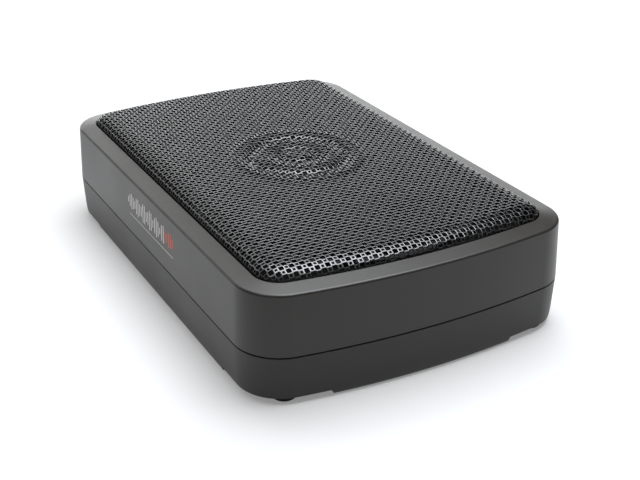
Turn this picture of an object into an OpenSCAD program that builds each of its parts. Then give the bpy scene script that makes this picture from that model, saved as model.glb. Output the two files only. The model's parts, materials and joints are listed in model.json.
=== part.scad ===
// Powered car subwoofer: a flat two-part housing with a shallow driver under a domed
// steel grille, and an amplifier bay with its control panel in the far short end.
// X runs across the width, Y along the length (panel at +Y), Z up. The feet stand on z = 0.

/* [Overall size] */
// Width across the long sides, at the seam
body_w = 228; // [224:1:290]
// Length over the two bowed ends, at the seam
body_l = 350; // [345:1:430]
// Plan radius of the four corners, at the seam
corner_r = 31; // [29:0.5:40]
// How far each short end bows out
end_bow = 6.4; // [2:0.1:9]
// Height of the seam between the two housings
seam_h = 33; // [30:0.5:42]
// Height from the seam to the outer edge of the rim
upper_h = 40; // [36:0.5:52]

/* [Housings] */
// Wall of both housings
wall = 2.6; // [2:0.1:3.4]
// Thickness of the floor plate
floor_t = 2.6; // [2:0.1:4]
// Thickness of the gasket in the seam
seam_gap = 0.6; // [0.4:0.1:1.2]
// Height of the underside lands above the surface
land_gap = 1; // [0.6:0.1:2]
// Depth of the corner pockets that hold the feet
pocket_depth = 3.6; // [2.4:0.1:5]
// Width of the rim around the grille
rim_w = 14; // [13:0.5:18]
// Rise of the rim from its outer to its inner edge
rim_rise = 1.9; // [0.5:0.1:3]
// Depth of the recess inside the rim, down to the baffle
recess_depth = 8.9; // [7:0.1:12]
// Thickness of the wall around the recess
recess_wall = 2.1; // [1.6:0.1:3]
// Thickness of the baffle that carries the driver
baffle_t = 3; // [2.4:0.1:4]

/* [Grille] */
// Thickness of the grille sheet
grille_t = 1.2; // [0.8:0.1:1.6]
// Gap between the grille's skirt and the rim
grille_gap = 0.8; // [0.4:0.1:1.5]
// How far the grille's rounded edge reaches inward
dome_run = 12.6; // [8:0.2:14]
// Height of the grille's rounded edge
dome_rise = 5.9; // [4:0.1:9]
// Crown of the grille over its middle
crown = 0.8; // [0.4:0.1:3]

/* [Driver] */
// Distance of the driver's axis from the middle, towards the plain end
driver_shift = 52; // [50:1:56]
// Outside diameter of the basket's flange
flange_d = 190; // [180:1:194]
// Thickness of the basket's sheet
basket_t = 2.4; // [1.6:0.1:3]
// Number of windows in the basket
window_count = 10; // [8:2:14]
// Diameter of the cone at its edge
cone_d = 139; // [120:1:142]
// Thickness of the cone
cone_t = 1.2; // [0.8:0.1:2]
// Radius of the surround's roll
roll_r = 7.4; // [5:0.1:8]
// Thickness of the surround
surround_t = 0.8; // [0.5:0.1:1.4]
// Diameter of the dust cap
cap_d = 60; // [50:1:76]
// Diameter of the magnet
magnet_d = 104; // [90:1:110]
// Height of the magnet
magnet_h = 13.5; // [10:0.5:16]
// Diameter of the pole
pole_d = 36; // [30:1:38]
// Thickness of the top plate
top_plate_t = 6; // [4:0.5:8]
// Thickness of the yoke's plate
yoke_t = 5; // [4:0.5:7]
// Clearance under the yoke
motor_gap = 2.3; // [1:0.1:5]
// Travel of the cone each way
travel = 5; // [3:0.5:6]
// Screws round the flange
flange_screws = 8; // [4:1:12]

/* [Amplifier] */
// Width of the amplifier board
board_w = 176; // [160:1:180]
// Length of the amplifier board
board_l = 88; // [84:1:100]
// Thickness of the boards
board_t = 1.6; // [1:0.1:2]
// Height of the board above the floor
board_lift = 6.8; // [6:0.1:9]
// Transistors on each half of the heat sink
transistors_per_side = 3; // [2:1:4]
// Turns of wire on the toroid
toroid_turns = 20; // [8:1:26]

/* [Control panel] */
// Width of the window in the end wall
window_w = 178; // [176:1:190]
// Height of the window
window_h = 44.5; // [43:0.5:52]
// Height of the window's lower edge above the floor
window_lift = 5.8; // [5:0.1:8]
// Depth of the panel's face behind the end of the housing
panel_depth = 12; // [10:0.5:15]
// Thickness of the panel
panel_t = 3; // [2:0.5:4]
// Knob diameter
knob_d = 14; // [10:0.5:15]
// Knob length
knob_l = 6; // [5:0.5:8]
// Diameter of the knobs' shafts
shaft_d = 6; // [4:0.5:6.5]
// Outside diameter of the phono jacks' shells
phono_d = 8.3; // [8.2:0.1:8.6]
// Length of the phono jacks in front of the panel
phono_l = 8; // [6:0.5:9]
// Travel of the phase switch
phase_travel = 4; // [3:0.5:5]

/* [Fasteners and feet] */
// Diameter of the rubber feet
foot_d = 16; // [12:1:20]
// Inset of the feet from the long sides
foot_inset_x = 24.4; // [22:0.2:30]
// Inset of the feet from the short ends
foot_inset_y = 20.5; // [18:0.5:26]
// Spacing of the bracket inserts across the width
insert_span_x = 156; // [150:1:164]
// Spacing of the bracket inserts along the length
insert_span_y = 260; // [250:1:270]
// Bore of the bracket inserts, for M5 screws
insert_bore = 5; // [4:0.5:6]
// Shank diameter of the case screws
case_screw_d = 3.5; // [3:0.1:4]

/* [Clearances] */
// Gap around pieces that pass through a cut-out
cut_gap = 0.3; // [0.2:0.05:0.6]
// Radial gap of a shaft in its bush
run_gap = 0.05; // [0.02:0.01:0.1]
// Radial gap of a screw in its hole
screw_gap = 0.25; // [0.1:0.05:0.5]

/* [Hidden] */

$fn = 64;
eps = 0.01;

// Outline of the housing
corner_steps = 12;
bow_steps = 10;
core_x = body_w/2 - corner_r;
core_y = body_l/2 - corner_r;
bow_r = (core_x*core_x + end_bow*end_bow)/(2*end_bow);
bow_half = asin(core_x/bow_r);

// Heights, from the surface up
z_pocket = land_gap + pocket_depth;
z_floor = z_pocket + floor_t;
z_low_top = seam_h - seam_gap/2;
z_up_bottom = seam_h + seam_gap/2;
z_edge = seam_h + upper_h;
z_rim = z_edge + rim_rise;
z_baffle = z_rim - recess_depth;
z_baffle_under = z_baffle - baffle_t;

// Case screws stand in the channel under the rim
boss_inset = 8.5;
boss_r = 4.2;
case_screw_y = [-105, -35, 35, 105];
case_screw_end_x = 44;
screw_head_h = 2.4;
z_screw_seat = land_gap + 4.2;
land_x = 64;
land_y = 115;
case_head_r = 3.5;
case_bore_r = 4.1;
case_grip = 15;
insert_wall = 1.4;
insert_l = 7.5;
insert_boss_wall = 3;
groove_pitch = 9;
groove_w = 5;
groove_margin = 28;
groove_each_way = 11;

// Driver, from the baffle down and from the floor up
flange_r = flange_d/2;
flange_ring = 10;
basket_r = flange_r - flange_ring;
z_flange = z_baffle + basket_t;
z_yoke = z_floor + motor_gap;
z_magnet = z_yoke + yoke_t;
z_top_plate = z_magnet + magnet_h;
z_seat = z_top_plate + top_plate_t;
seat_r = magnet_d/2;
former_r = pole_d/2 + 1;
coil_r = former_r + 1.3;
gap_r = coil_r + 0.7;
z_spider = z_seat + 10.4;
ledge_r = 51;
spider_r = ledge_r + 5;
z_neck = z_spider + 7.6;
surround_lip = z_flange + surround_t;
z_cone = z_flange - cone_t - run_gap;
cone_r = cone_d/2;
surround_flange_r = basket_r + 3;
roll_centre = (cone_r + basket_r)/2;
screw_circle_r = flange_r - 3.4;
flange_screw_r = 1.5;
flange_head_r = 2.9;
flange_boss_r = 3.2;
flange_boss_h = 5;
front_gasket_t = 1.8;
cone_lip = 4;
z_neck_top = z_neck + cone_t + 0.2;
cap_rise = 5.5;
window_sill = 1.4;
window_rim = 5;
z_pad = z_spider + 7.6;
pad_h = 11.6;
pad_r = seat_r + (basket_r - seat_r)*(z_pad - z_seat)/(z_baffle - z_seat) + 0.3;
pad_half_w = 10;
tag_x = 5;
z_tag = z_pad - 7;

// Control panel and what it carries
panel_face = body_l/2 - panel_depth;
panel_back = panel_face - panel_t;
z_window = z_floor + window_lift;
frame_t = 2.2;
flange_lap = 3.5;
flange_y = 2.5;
control_gap = 9.4;
control_y = panel_back - control_gap;
board_end_gap = 2;
row_low = z_window + 11.5;
row_high = row_low + 21;
power_x = -62;
speaker_x = -24;
phono_x = [3, 21];
remote_x = 41;
fuse_x = 68;
knob_x = [-62, -30, 2];
phase_x = 34;
led_x = 62;
panel_screw_spots = [[-78, row_high], [78, row_high], [-8.5, row_low], [52, row_low]];
knob_gap = 1.5;
bush_r = shaft_d/2 + 1.6;
panel_screw_r = 1.25;
panel_screw_head_r = 2.6;
phono_shell_t = 0.7;
phono_neck = 0.3;

// Sizes of the sockets' shells
power_w = 36;
power_h = 15;
speaker_w = 20;
speaker_h = 14;
remote_w = 14;
remote_h = 13;
holder_w = 24;
holder_h = 10;
fuse_w = 19;
fuse_h = 5;
blade_pitch = 6.5;
shell_t = 1.8;
socket_out = 5.5;
socket_floor = 5.4;
pin_l = 9.6;
power_pitch = 8;
speaker_pitch = [3.6, 2.4];
speaker_pin = 1.2;
slider_w = 4;
slider_h = 4;
led_r = 2.5;

// Amplifier bay, from the control board back towards the driver
board_y = control_y - board_t - board_end_gap - board_l;
z_board = z_floor + board_lift;
z_board_top = z_board + board_t;
sink_web = 8;
sink_fin = 8;
sink_h = 30;
fin_slots = 21;
fin_slot_w = 3.5;
sink_y = board_y - sink_web - sink_fin - 1;
board_screw_x = board_w/2 - 6;
board_screw_y = [board_y + 6, board_y + board_l - 4];
board_screw_r = 1.25;
board_boss_r = 3.4;
transistor_start = 25;
transistor_pitch = 19;
toroid_at = [-52, board_y + 36, z_board_top + 6.6];
toroid_r = 14;
toroid_core_r = 5;
choke_at = [[-14, board_y + 30], [-14, board_y + 58]];
choke_r = 9;
choke_core_r = 5;
choke_h = 16;
can_r = 8;
can_h = 26.2;
can_start = [18, board_y + 26];
can_pitch = [20, 26];

// Points of the outline, pulled in by a constant distance, anticlockwise
function plan_points(inset) = let(
    r = corner_r - inset,
    near = [for (i = [0:bow_steps]) let(t = -bow_half + 2*bow_half*i/bow_steps)
            [(bow_r + r)*sin(t), bow_r - core_y - (bow_r + r)*cos(t)]],
    right = [for (i = [1:corner_steps]) let(t = bow_half + (90 - bow_half)*i/corner_steps)
             [core_x + r*sin(t), end_bow - core_y - r*cos(t)]],
    left = [for (p = [for (i = [corner_steps:-1:1]) right[i - 1]]) [-p[0], p[1]]],
    half = concat(left, near, right))
  concat(half, [for (p = half) -p]);

// Distance along Y of the bowed end at a given x, pulled in by a constant distance
function end_y(x, inset) = core_y - bow_r
    + sqrt(pow(bow_r + corner_r - inset, 2) - x*x);

// One level of a lofted shape: [inset, height, scale about the middle]
function level_points(level) = let(s = len(level) > 2 ? level[2] : 1)
  [for (p = plan_points(level[0])) [p[0]*s, p[1]*s, level[1]]];

function flat(lists) = [for (l = lists) for (v = l) v];

// Wall faces between stacked rings of n points, ring j to ring j + 1
function wall_faces(n, first, last) = flat([for (j = [first:last - 1]) for (i = [0:n - 1])
    let(k = (i + 1) % n, a = j*n, b = (j + 1)*n)
    [[a + i, b + i, b + k], [a + i, b + k, a + k]]]);

// Ring that follows the outline, from a closed [inset, height] profile that runs
// up the outside and down the inside
module outline_ring(profile) {
  rings = [for (p = concat(profile, [profile[0]])) level_points(p)];
  n = len(rings[0]);
  count = len(profile);
  faces = flat([for (j = [0:count - 1]) for (i = [0:n - 1])
      let(k = (i + 1) % n, a = j*n, b = ((j + 1) % count)*n)
      [[a + i, b + i, b + k], [a + i, b + k, a + k]]]);
  polyhedron(points = flat([for (j = [0:count - 1]) rings[j]]), faces = faces, convexity = 8);
}

// Dish that follows the outline. Both lists run from the closed end to the open edge.
module outline_dish(outside, inside, opens_up) {
  rings = [for (l = concat(outside, [for (i = [len(inside) - 1:-1:0]) inside[i]])) level_points(l)];
  n = len(rings[0]);
  count = len(rings);
  walls = wall_faces(n, 0, count - 1);
  lids = [[for (i = [0:n - 1]) i], [for (i = [n - 1:-1:0]) (count - 1)*n + i]];
  faces = concat(walls, lids);
  polyhedron(points = flat(rings),
      faces = opens_up ? faces : [for (f = faces) [for (i = [len(f) - 1:-1:0]) f[i]]],
      convexity = 8);
}

// Smooth route through hand-set points
function route(points, steps) = let(n = len(points))
  concat([for (i = [0:n - 2]) for (s = [0:steps - 1])
      let(t = s/steps, a = points[max(i - 1, 0)], b = points[i], c = points[i + 1],
          d = points[min(i + 2, n - 1)])
      b + 0.5*t*(c - a + t*(2*a - 5*b + 4*c - d + t*(3*(b - c) + d - a)))],
    [points[n - 1]]);

// Round wire along a route that never runs parallel to X
module wire(path, r, sides = 8) {
  n = len(path);
  rings = [for (i = [0:n - 1]) let(
      run = path[min(i + 1, n - 1)] - path[max(i - 1, 0)],
      dir = run/norm(run),
      side = cross(dir, [1, 0, 0])/norm(cross(dir, [1, 0, 0])),
      up = cross(side, dir))
      for (k = [0:sides - 1]) path[i] + r*(cos(360*k/sides)*side + sin(360*k/sides)*up)];
  walls = flat([for (j = [0:n - 2]) for (i = [0:sides - 1])
      let(k = (i + 1) % sides, a = j*sides, b = (j + 1)*sides)
      [[a + i, b + i, b + k], [a + i, b + k, a + k]]]);
  ends = [[for (i = [0:sides - 1]) i], [for (i = [sides - 1:-1:0]) (n - 1)*sides + i]];
  polyhedron(points = rings, faces = concat(walls, ends), convexity = 8);
}

module ring(r_out, r_in, h) {
  difference() {
    cylinder(r = r_out, h = h);
    translate([0, 0, -1]) cylinder(r = r_in, h = h + 2);
  }
}

// Lays a shape drawn along Z down along +Y
module along_y(x, y, z) {
  translate([x, y, z]) rotate([-90, 0, 0]) children();
}

// Box centred in x and z, from y up by a depth
module block(x, y, z, w, depth, h) {
  translate([x - w/2, y, z - h/2]) cube([w, depth, h]);
}

module at_driver() {
  translate([0, -driver_shift, 0]) children();
}

module at_corners(x, y) {
  for (sx = [-1, 1]) for (sy = [-1, 1]) translate([sx*x, sy*y, 0]) children();
}

module at_case_screws() {
  for (sx = [-1, 1]) {
    for (y = case_screw_y) translate([sx*(body_w/2 - boss_inset), y, 0]) children();
    translate([sx*case_screw_end_x, -end_y(case_screw_end_x, boss_inset), 0]) children();
  }
}

module at_flange_screws() {
  for (i = [0:flange_screws - 1]) rotate([0, 0, (i + 0.5)*360/flange_screws])
    translate([screw_circle_r, 0, 0]) children();
}

module at_board_screws() {
  for (sx = [-1, 1]) for (y = board_screw_y) translate([sx*board_screw_x, y, 0]) children();
}

// Window in the far end wall
module end_window() {
  translate([-window_w/2, panel_back - 1, z_window])
    cube([window_w, panel_depth + panel_t + 10, window_h]);
}

module top_housing() {
  color([0.28, 0.27, 0.26]) difference() {
    union() {
      outline_ring([
        [0, z_up_bottom], [0.7, z_up_bottom + upper_h/2], [1.3, z_edge - 1.8],
        [1.6, z_edge - 0.7], [2.4, z_edge], [rim_w - 0.6, z_rim], [rim_w, z_rim - 0.4],
        [rim_w, z_baffle_under], [rim_w - recess_wall, z_baffle_under],
        [rim_w - recess_wall, z_rim - 2.4], [wall + 1.6, z_edge - 2.2], [wall, z_up_bottom]
      ]);
      translate([0, 0, z_baffle_under]) linear_extrude(baffle_t)
        polygon(plan_points(rim_w - recess_wall/2));
      at_case_screws() translate([0, 0, z_up_bottom]) cylinder(r = boss_r, h = upper_h - 1);
      at_driver() at_flange_screws() translate([0, 0, z_baffle_under - flange_boss_h])
        cylinder(r = flange_boss_r, h = flange_boss_h + eps);
    }
    at_driver() translate([0, 0, z_baffle_under - 1])
      cylinder(r = basket_r + cut_gap, h = baffle_t + 2);
    at_case_screws() translate([0, 0, z_up_bottom - 1])
      cylinder(d = case_screw_d + 2*run_gap, h = case_grip + 3);
    at_driver() at_flange_screws() translate([0, 0, z_baffle - 7])
      cylinder(r = flange_screw_r + run_gap, h = 8);
    end_window();
  }
}

module bottom_housing() {
  color([0.25, 0.25, 0.255]) difference() {
    union() {
      outline_dish(
        [[3.7, land_gap], [2.4, land_gap + 2], [1.6, land_gap + 5], [1.2, land_gap + 9],
         [0, z_low_top]],
        [[4.6, z_floor], [3.9, z_floor + 2.5], [wall, z_low_top]], true);
      at_case_screws() translate([0, 0, z_floor - eps])
        cylinder(r = boss_r, h = z_low_top - z_floor + eps);
      at_corners(insert_span_x/2, insert_span_y/2) translate([0, 0, z_floor - eps])
        cylinder(r = insert_bore/2 + insert_boss_wall, h = 6 + eps);
      at_board_screws() translate([0, 0, z_floor - eps])
        cylinder(r = board_boss_r, h = board_lift + eps);
    }
    // pockets for the feet
    at_corners(land_x + 50, land_y + 50)
      translate([-50, -50, -1]) cube([100, 100, z_pocket + 1]);
    // cooling grooves
    for (i = [-groove_each_way:groove_each_way])
      translate([groove_margin - body_w/2, i*groove_pitch - groove_w/2, -1])
        cube([body_w - 2*groove_margin, groove_w, z_pocket + 1]);
    at_case_screws() {
      translate([0, 0, -1]) cylinder(r = case_bore_r, h = z_screw_seat + 1);
      cylinder(d = case_screw_d + 2*screw_gap, h = seam_h);
    }
    at_corners(insert_span_x/2, insert_span_y/2) translate([0, 0, z_pocket - 1])
      cylinder(r = insert_bore/2 + insert_wall + run_gap, h = insert_l + 1.5);
    at_board_screws() translate([0, 0, z_board - 6])
      cylinder(r = board_screw_r + run_gap, h = 7);
    end_window();
  }
}

module seam_gasket() {
  color([0.05, 0.05, 0.05]) difference() {
    translate([0, 0, z_low_top]) linear_extrude(seam_gap) difference() {
      polygon(plan_points(1));
      polygon(plan_points(wall));
    }
    end_window();
  }
}

module grille() {
  top = z_rim + 0.3;
  steps = 5;
  edge = rim_w + grille_gap;
  centre = edge + dome_run;
  function dome(run, rise) = [for (i = [steps:-1:0]) let(t = 90*i/steps)
      [centre - run*cos(t), top + rise*sin(t)]];
  function lid(z) = [[centre, z + crown, 0.08], [centre, z + 0.8*crown, 0.5]];
  color([0.2, 0.2, 0.2]) outline_dish(
    concat(lid(top + dome_rise), dome(dome_run, dome_rise), [[edge, z_baffle]]),
    concat(lid(top + dome_rise - grille_t), dome(dome_run - grille_t, dome_rise - grille_t),
      [[edge + grille_t, z_baffle]]),
    false);
}

module rubber_feet() {
  r = foot_d/2;
  color([0.06, 0.06, 0.06]) at_corners(body_w/2 - foot_inset_x, body_l/2 - foot_inset_y)
    rotate_extrude() polygon([[0, 0], [r - 1, 0], [r, 1], [r, z_pocket], [0, z_pocket]]);
}

module bracket_inserts() {
  color("goldenrod") at_corners(insert_span_x/2, insert_span_y/2)
    translate([0, 0, z_pocket]) ring(insert_bore/2 + insert_wall, insert_bore/2, insert_l);
}

module case_screws() {
  color([0.1, 0.1, 0.1]) at_case_screws() {
    difference() {
      translate([0, 0, z_screw_seat - screw_head_h]) cylinder(r = case_head_r, h = screw_head_h);
      translate([0, 0, z_screw_seat - screw_head_h - 1]) cylinder(r = 1.6, h = 2.2, $fn = 6);
    }
    translate([0, 0, z_screw_seat - eps])
      cylinder(d = case_screw_d, h = z_up_bottom + case_grip - z_screw_seat);
  }
}

module basket() {
  floor_z = z_seat + basket_t;
  drop = z_baffle - floor_z;
  color([0.1, 0.1, 0.1]) at_driver() difference() {
    union() {
      rotate_extrude() polygon([
        [gap_r, z_seat], [seat_r, z_seat], [basket_r, z_baffle], [flange_r, z_baffle],
        [flange_r, z_flange], [basket_r - basket_t, z_flange], [seat_r - 1, floor_z],
        [gap_r, floor_z]
      ]);
      // ledge for the spider
      rotate_extrude() polygon([
        [ledge_r, z_spider - 1.6], [seat_r + 3, z_spider - 1.6], [seat_r + 9, z_spider],
        [ledge_r, z_spider]
      ]);
      for (i = [0:5]) rotate([0, 0, 60*i]) translate([ledge_r, -1.2, floor_z - eps])
        cube([5, 2.4, z_spider - floor_z - 1]);
      // flat pad for the terminal board
      translate([-pad_half_w, pad_r - 8, z_pad - pad_h]) cube([2*pad_half_w, 8, pad_h]);
    }
    for (i = [0:window_count - 1]) rotate([0, 0, 90 + (i + 0.5)*360/window_count])
      translate([seat_r + 2.5, -window_half(), floor_z + window_sill])
        cube([flange_r, 2*window_half(), drop - window_rim]);
    at_flange_screws() translate([0, 0, z_baffle - 1])
      cylinder(r = flange_screw_r + screw_gap, h = basket_t + 2);
    translate([0, 0, z_spider]) cylinder(r = spider_r + 0.1, h = 3);
  }
}

// Half width of a basket window, leaving a spoke between neighbours
function window_half() = (seat_r + 8)*tan(180/window_count) - 6.5;

module front_gasket() {
  color([0.04, 0.04, 0.04]) at_driver() translate([0, 0, surround_lip])
    ring(surround_flange_r, roll_centre + roll_r + surround_t + cut_gap, front_gasket_t);
}

module surround() {
  mid = roll_centre;
  steps = 12;
  out = [for (i = [0:steps]) let(t = 180*i/steps)
         [mid - (roll_r + surround_t)*cos(t), surround_lip + (roll_r + surround_t)*sin(t)]];
  inner = [for (i = [steps:-1:0]) let(t = 180*i/steps)
         [mid - roll_r*cos(t), surround_lip + roll_r*sin(t)]];
  color([0.07, 0.07, 0.07]) at_driver() rotate_extrude() union() {
    polygon(concat(out, inner));
    translate([cone_r - cone_lip, z_flange])
      square([mid - roll_r - cone_r + cone_lip, surround_t]);
    translate([mid + roll_r, z_flange]) square([surround_flange_r - mid - roll_r, surround_t]);
  }
}

module cone() {
  color([0.12, 0.12, 0.12]) at_driver() rotate_extrude() polygon([
    [former_r, z_neck], [cone_r - cone_lip, z_cone], [cone_r, z_cone],
    [cone_r, z_cone + cone_t], [cone_r - cone_lip - 0.3, z_cone + cone_t], [former_r, z_neck_top]
  ]);
}

module dust_cap() {
  r = cap_d/2;
  base = z_neck_top + (z_cone - z_neck)*(r - former_r)/(cone_r - cone_lip - 0.3 - former_r);
  sphere_r = (r*r + cap_rise*cap_rise)/(2*cap_rise);
  half = asin(r/sphere_r);
  steps = 10;
  arc = [for (i = [0:steps]) let(t = half*(1 - i/steps))
         [sphere_r*sin(t), base + 0.6 + sphere_r*cos(t) - (sphere_r - cap_rise)]];
  color([0.12, 0.12, 0.12]) at_driver() rotate_extrude()
    polygon(concat([[r - 1.2, base]], [[r, base + 0.2]], arc,
      [for (i = [steps:-1:1]) [arc[i][0]*0.96, arc[i][1] - 0.8]]));
}

module voice_coil_former() {
  color("peru") at_driver() translate([0, 0, z_top_plate - 5])
    ring(former_r - run_gap, former_r - 0.4, z_neck + cone_t - z_top_plate + 5);
}

module voice_coil_winding() {
  color([0.72, 0.4, 0.2]) at_driver() translate([0, 0, z_top_plate - 3])
    ring(coil_r, former_r, top_plate_t + 6);
}

module spider() {
  waves = 5;
  steps = 40;
  cloth_t = 0.6;
  height = 1.2;
  r0 = former_r + run_gap;
  path = [for (i = [0:steps]) let(t = i/steps) [r0 + (ledge_r - 0.5 - r0)*t,
      z_spider + 0.3 + height*sin(360*waves*t)*min(1, 6*t, 6*(1 - t))]];
  color("khaki") at_driver() rotate_extrude() polygon(concat(
    [for (p = path) [p[0], p[1] + cloth_t]], [[spider_r, z_spider + 0.3 + cloth_t],
    [spider_r, z_spider], [ledge_r, z_spider]], [for (i = [steps:-1:0]) path[i]]));
}

module top_plate() {
  color([0.45, 0.45, 0.46]) at_driver() translate([0, 0, z_top_plate])
    ring(seat_r - 2, gap_r, top_plate_t);
}

module magnet() {
  color([0.22, 0.22, 0.23]) at_driver() translate([0, 0, z_magnet])
    ring(magnet_d/2, magnet_d/4, magnet_h);
}

module yoke() {
  r = magnet_d/2 - 2;
  top = z_seat + 0.5;
  color([0.45, 0.45, 0.46]) at_driver() rotate_extrude() polygon([
    [4, z_yoke], [r - 1.5, z_yoke], [r, z_yoke + 1.5], [r, z_magnet], [pole_d/2, z_magnet],
    [pole_d/2, top - 0.8], [pole_d/2 - 0.8, top], [4, top]
  ]);
}

module terminal_board() {
  color("saddlebrown") at_driver()
    translate([-pad_half_w + 1, pad_r, z_pad - pad_h + 1]) cube([2*pad_half_w - 2, 1.6, pad_h - 1]);
}

module driver_tags() {
  color("goldenrod") at_driver() for (sx = [-1, 1]) {
    translate([sx*tag_x - 2.4, pad_r + 1.6, z_pad - 9]) cube([4.8, 0.8, 9]);
    translate([sx*tag_x - 2.4, pad_r + 2.3, z_tag]) cube([4.8, 8, 0.8]);
  }
}

module tinsel_leads() {
  z = z_spider + 5;
  color("silver") at_driver() for (sx = [-1, 1])
    wire(route([[sx*(tag_x + 2), pad_r + 3.3, z_pad - 1], [sx*12.5, pad_r + 3, z_pad - 2],
      [sx*14, pad_r - 8, z + 0.4], [sx*11, 50, z - 1], [sx*7, 36, z], [sx*4, former_r + 1, z]],
      6), 0.7);
}

module driver_screws() {
  color("dimgray") at_driver() at_flange_screws() {
    translate([0, 0, z_flange]) difference() {
      cylinder(r = flange_head_r, h = 2);
      translate([0, 0, 0.9]) cylinder(r = 1.4, h = 2, $fn = 6);
    }
    translate([0, 0, z_baffle - 6.5]) cylinder(r = flange_screw_r, h = 6.5 + basket_t + eps);
  }
}

module speaker_leads() {
  z = z_spider + 6.4;
  far = board_y + 11;
  start = pad_r + 9 - driver_shift;
  color("firebrick") for (sx = [-1, 1])
    wire(route([[sx*tag_x, start, z_tag + 1.9], [sx*6, sink_y - 2, z], [sx*7, sink_y + 12, z],
      [sx*8, far - 3, z - 8], [sx*8, far, z_board_top + 12], [sx*8, far, z_board_top]], 6), 1.1);
}

module amp_board() {
  color("darkgreen") difference() {
    translate([-board_w/2, board_y, z_board]) cube([board_w, board_l, board_t]);
    at_board_screws() translate([0, 0, z_board - 1])
      cylinder(r = board_screw_r + screw_gap, h = board_t + 2);
  }
}

module control_board() {
  low = z_board + 4;
  high = z_window + window_h - 2;
  color("darkgreen") difference() {
    translate([-board_w/2, control_y - board_t, low]) cube([board_w, board_t, high - low]);
    for (p = panel_screw_spots) along_y(p[0], control_y - board_t - 1, p[1])
      cylinder(r = panel_screw_r + screw_gap, h = board_t + 2);
  }
}

module board_connector() {
  color("ivory") difference() {
    translate([-20, control_y - board_t - 5, z_board_top])
      cube([40, 5, 8]);
    for (i = [-8:8]) translate([i*2.2 - 0.6, control_y - board_t - 4, z_board_top + 5])
      cube([1.2, 2.4, 4]);
  }
}

module heat_sink() {
  w = board_w - 16;
  color("silver") difference() {
    translate([-w/2, sink_y, z_floor]) cube([w, sink_fin + sink_web, sink_h]);
    for (i = [0:fin_slots - 1])
      translate([-w/2 + 3 + i*(w - 6 - fin_slot_w)/(fin_slots - 1), sink_y - 1, z_floor + 5])
        cube([fin_slot_w, sink_fin + 1, sink_h]);
  }
}

module transistors() {
  face = sink_y + sink_fin + sink_web;
  color([0.08, 0.08, 0.08]) for (sx = [-1, 1]) for (i = [0:transistors_per_side - 1])
    translate([sx*(transistor_start + transistor_pitch*i), face, z_board_top]) {
      difference() {
        translate([-5, 0, 3]) cube([10, 4.5, 15]);
        along_y(0, -1, 15.4) cylinder(r = 1.8, h = 7);
      }
      for (k = [-1:1]) translate([2.5*k - 0.4, 1.6, 0]) cube([0.8, 0.6, 3 + eps]);
    }
}

module toroid_core() {
  color("olivedrab") translate(toroid_at) rotate_extrude()
    translate([toroid_r, 0]) circle(r = toroid_core_r);
}

module toroid_winding() {
  wire_r = 0.65;
  color("chocolate") translate(toroid_at) for (i = [0:toroid_turns - 1])
    rotate([0, 0, 360*i/toroid_turns]) translate([toroid_r, 0, 0]) rotate([90, 0, 0])
      rotate_extrude() translate([toroid_core_r + wire_r + run_gap, 0]) circle(r = wire_r);
}

module choke_cores() {
  color([0.15, 0.15, 0.15]) for (p = choke_at) translate([p[0], p[1], z_board_top]) {
    cylinder(r = choke_r, h = 2);
    cylinder(r = choke_core_r, h = choke_h);
    translate([0, 0, choke_h - 2]) cylinder(r = choke_r, h = 2);
  }
}

module choke_windings() {
  wire_r = 0.9;
  color("chocolate") for (p = choke_at) for (i = [0:5])
    translate([p[0], p[1], z_board_top + 3 + i*2*wire_r*1.08 + 0.2]) rotate_extrude()
      translate([choke_core_r + wire_r + run_gap, 0]) circle(r = wire_r);
}

module capacitors() {
  color([0.1, 0.12, 0.3]) for (i = [0:3]) for (j = [0:1])
    translate([can_start[0] + can_pitch[0]*i, can_start[1] + can_pitch[1]*j, z_board_top])
      rotate_extrude() polygon([[0, 0], [can_r - 0.4, 0], [can_r, 0.4], [can_r, 2.6],
        [can_r - 0.5, 3.2], [can_r, 3.8], [can_r, can_h - 0.6], [can_r - 0.6, can_h],
        [can_r - 1.6, can_h], [can_r - 1.8, can_h - 0.4], [0, can_h - 0.4]]);
}

module board_screws() {
  color("silver") at_board_screws() {
    translate([0, 0, z_board_top]) difference() {
      cylinder(r = 2.6, h = 1.8);
      translate([0, 0, 0.8]) cylinder(r = 1.3, h = 2, $fn = 6);
    }
    translate([0, 0, z_board - 5]) cylinder(r = board_screw_r, h = board_t + 5 + eps);
  }
}

// Opening in the panel for a block-shaped piece
module panel_hole(x, z, w, h) {
  block(x, panel_back - 1, z, w + 2*cut_gap, panel_t + 2, h + 2*cut_gap);
}

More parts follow.
